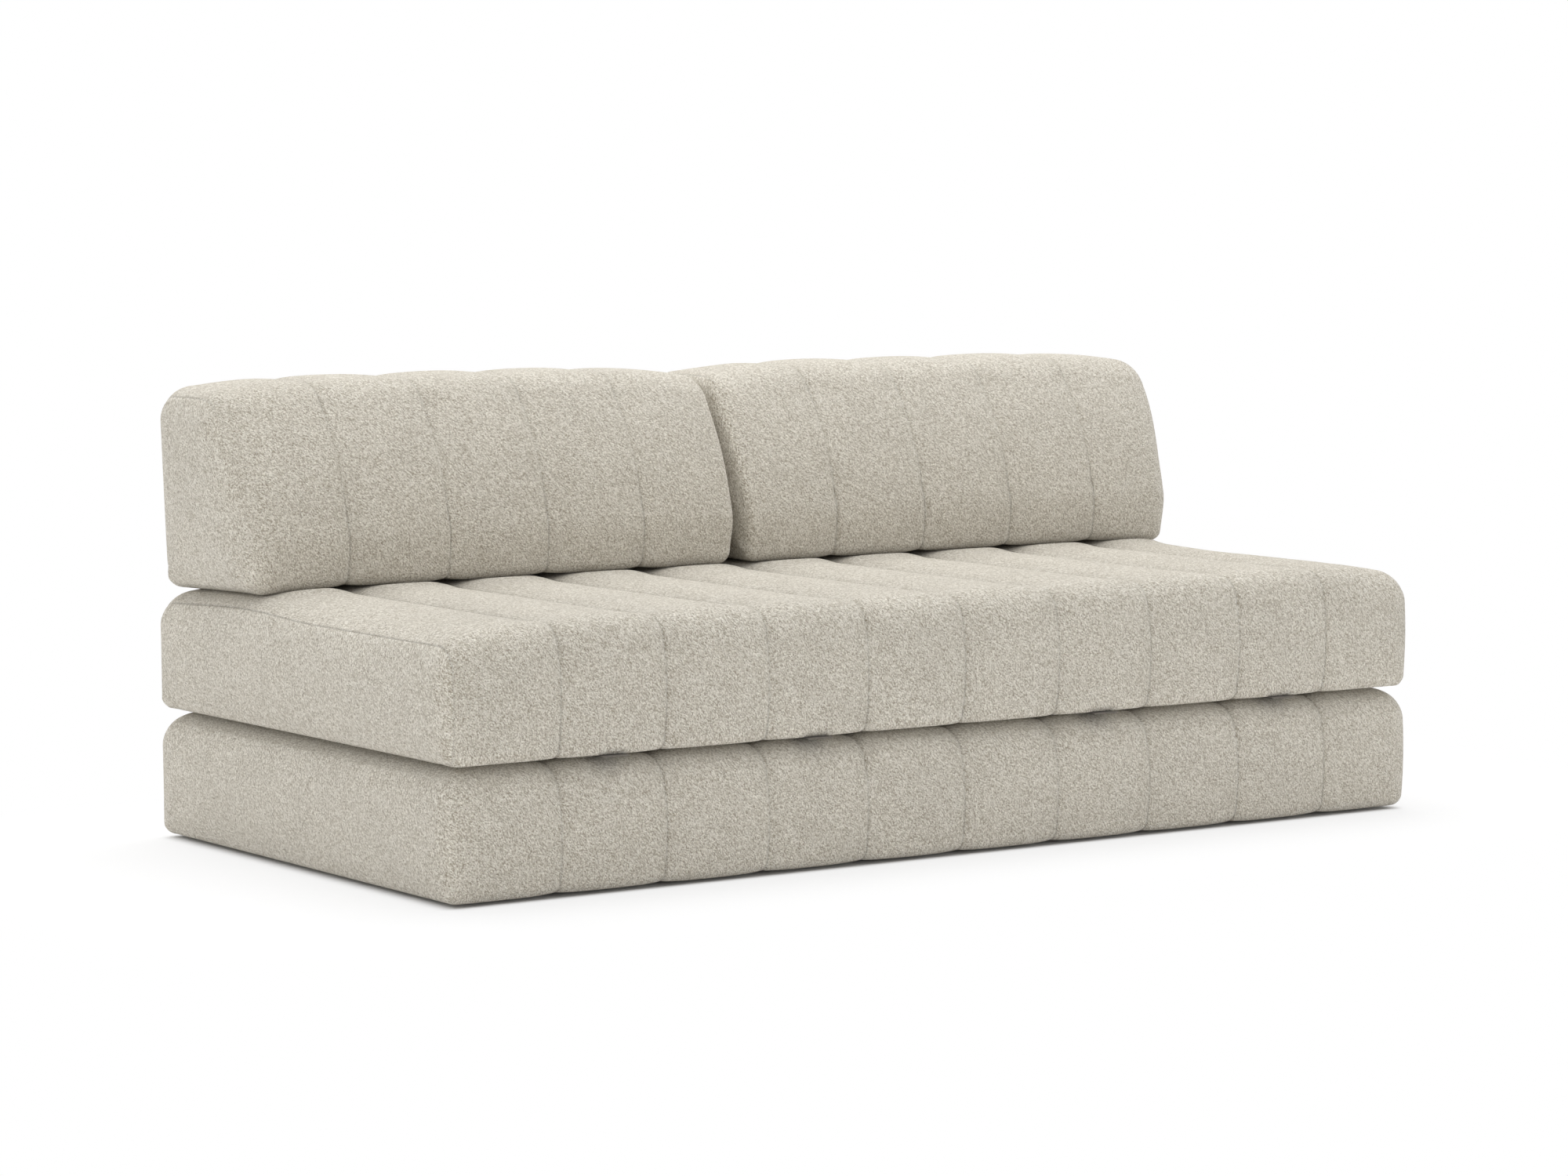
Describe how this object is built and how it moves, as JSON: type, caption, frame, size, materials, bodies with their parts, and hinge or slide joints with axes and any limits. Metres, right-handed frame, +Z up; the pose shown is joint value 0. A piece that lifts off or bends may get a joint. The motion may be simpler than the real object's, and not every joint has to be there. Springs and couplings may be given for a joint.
{
  "type": "sofa bed",
  "caption": "Fold-out sofa bed: two stacked channel-quilted foam mattresses hinged along the front edge, with leaning quilted back cushions held by cloth flaps.",
  "frame": {"origin": "on the floor, under the middle of the sofa's footprint", "axes": "+X along the width, to the right of someone facing the seat's front; +Y to the back; +Z up"},
  "size_m": [2, 0.99, 0.794],
  "materials": {
    "boucle": "matte",
    "core_foam": "matte",
    "soft_foam": "matte",
    "plywood": "satin",
    "lining": "matte",
    "feet": "satin",
    "zip_tape": "matte",
    "zip_slider": "satin",
    "woven_tape": "matte"
  },
  "bodies": {
    "lower_mattress": {"lower_cover_sleeve": "boucle", "lower_end_panel_left": "boucle", "lower_end_panel_right": "boucle", "lower_base_board": "plywood", "lower_foam_core": "core_foam", "lower_comfort_layer": "soft_foam", "lower_zip_tape": "zip_tape", "underside_lining": "lining", "hinge_strap_far_left_lower_half": "woven_tape", "hinge_strap_left_lower_half": "woven_tape", "hinge_strap_right_lower_half": "woven_tape", "hinge_strap_far_right_lower_half": "woven_tape", "foot_front_far_left": "feet", "foot_front_left": "feet", "foot_front_right": "feet", "foot_front_far_right": "feet", "foot_back_far_left": "feet", "foot_back_left": "feet", "foot_back_right": "feet", "foot_back_far_right": "feet"},
    "upper_mattress": {"upper_cover_sleeve": "boucle", "upper_end_panel_left": "boucle", "upper_end_panel_right": "boucle", "upper_sleep_layer": "soft_foam", "upper_foam_core": "core_foam", "upper_comfort_layer": "soft_foam", "upper_zip_tape": "zip_tape", "anchor_tape_left": "woven_tape", "anchor_tape_right": "woven_tape", "hinge_strap_far_left_upper_half": "woven_tape", "hinge_strap_left_upper_half": "woven_tape", "hinge_strap_right_upper_half": "woven_tape", "hinge_strap_far_right_upper_half": "woven_tape"},
    "left_flap": {"hinge_flap_left": "woven_tape"},
    "left_cushion": {"cushion_left_cover_sleeve": "boucle", "cushion_left_end_panel_left": "boucle", "cushion_left_end_panel_right": "boucle", "cushion_left_comfort_layer": "soft_foam", "cushion_left_foam_core": "core_foam", "cushion_left_zip_tape": "zip_tape", "cushion_left_hook_strip": "woven_tape"},
    "right_flap": {"hinge_flap_right": "woven_tape"},
    "right_cushion": {"cushion_right_cover_sleeve": "boucle", "cushion_right_end_panel_left": "boucle", "cushion_right_end_panel_right": "boucle", "cushion_right_comfort_layer": "soft_foam", "cushion_right_foam_core": "core_foam", "cushion_right_zip_tape": "zip_tape", "cushion_right_hook_strip": "woven_tape"},
    "lower_slider": {"lower_zip_slider": "zip_slider"},
    "upper_slider": {"upper_zip_slider": "zip_slider"},
    "left_cushion_slider": {"cushion_left_zip_slider": "zip_slider"},
    "right_cushion_slider": {"cushion_right_zip_slider": "zip_slider"}
  },
  "joints": [
    {"name": "mattress_fold", "type": "hinge", "parent": "lower_mattress", "child": "upper_mattress", "pos_m": [0, -0.496, 0.221], "axis": [1, 0, 0], "range_deg": [0, 180]},
    {"name": "left_flap_fold", "type": "hinge", "parent": "upper_mattress", "child": "left_flap", "pos_m": [0, 0.496, 0.442], "axis": [1, 0, 0], "range_deg": [-180, 0]},
    {"name": "left_cushion_lift", "type": "slide", "parent": "left_flap", "child": "left_cushion", "axis": [0, 0, 1], "range_m": [0, 0.25]},
    {"name": "right_flap_fold", "type": "hinge", "parent": "upper_mattress", "child": "right_flap", "pos_m": [0, 0.496, 0.442], "axis": [1, 0, 0], "range_deg": [-180, 0]},
    {"name": "right_cushion_lift", "type": "slide", "parent": "right_flap", "child": "right_cushion", "axis": [0, 0, 1], "range_m": [0, 0.25]},
    {"name": "lower_zip_slide", "type": "slide", "parent": "lower_mattress", "child": "lower_slider", "axis": [-1, 0, 0], "range_m": [0, 1.65]},
    {"name": "upper_zip_slide", "type": "slide", "parent": "upper_mattress", "child": "upper_slider", "axis": [-1, 0, 0], "range_m": [0, 1.65]},
    {"name": "left_cushion_zip_slide", "type": "slide", "parent": "left_cushion", "child": "left_cushion_slider", "axis": [1, 0, 0], "range_m": [0, 0.75]},
    {"name": "right_cushion_zip_slide", "type": "slide", "parent": "right_cushion", "child": "right_cushion_slider", "axis": [-1, 0, 0], "range_m": [0, 0.75]}
  ],
  "couplings": [
    {"joint": "left_flap_fold", "follows": "mattress_fold", "ratio": -1},
    {"joint": "right_flap_fold", "follows": "mattress_fold", "ratio": -1}
  ]
}
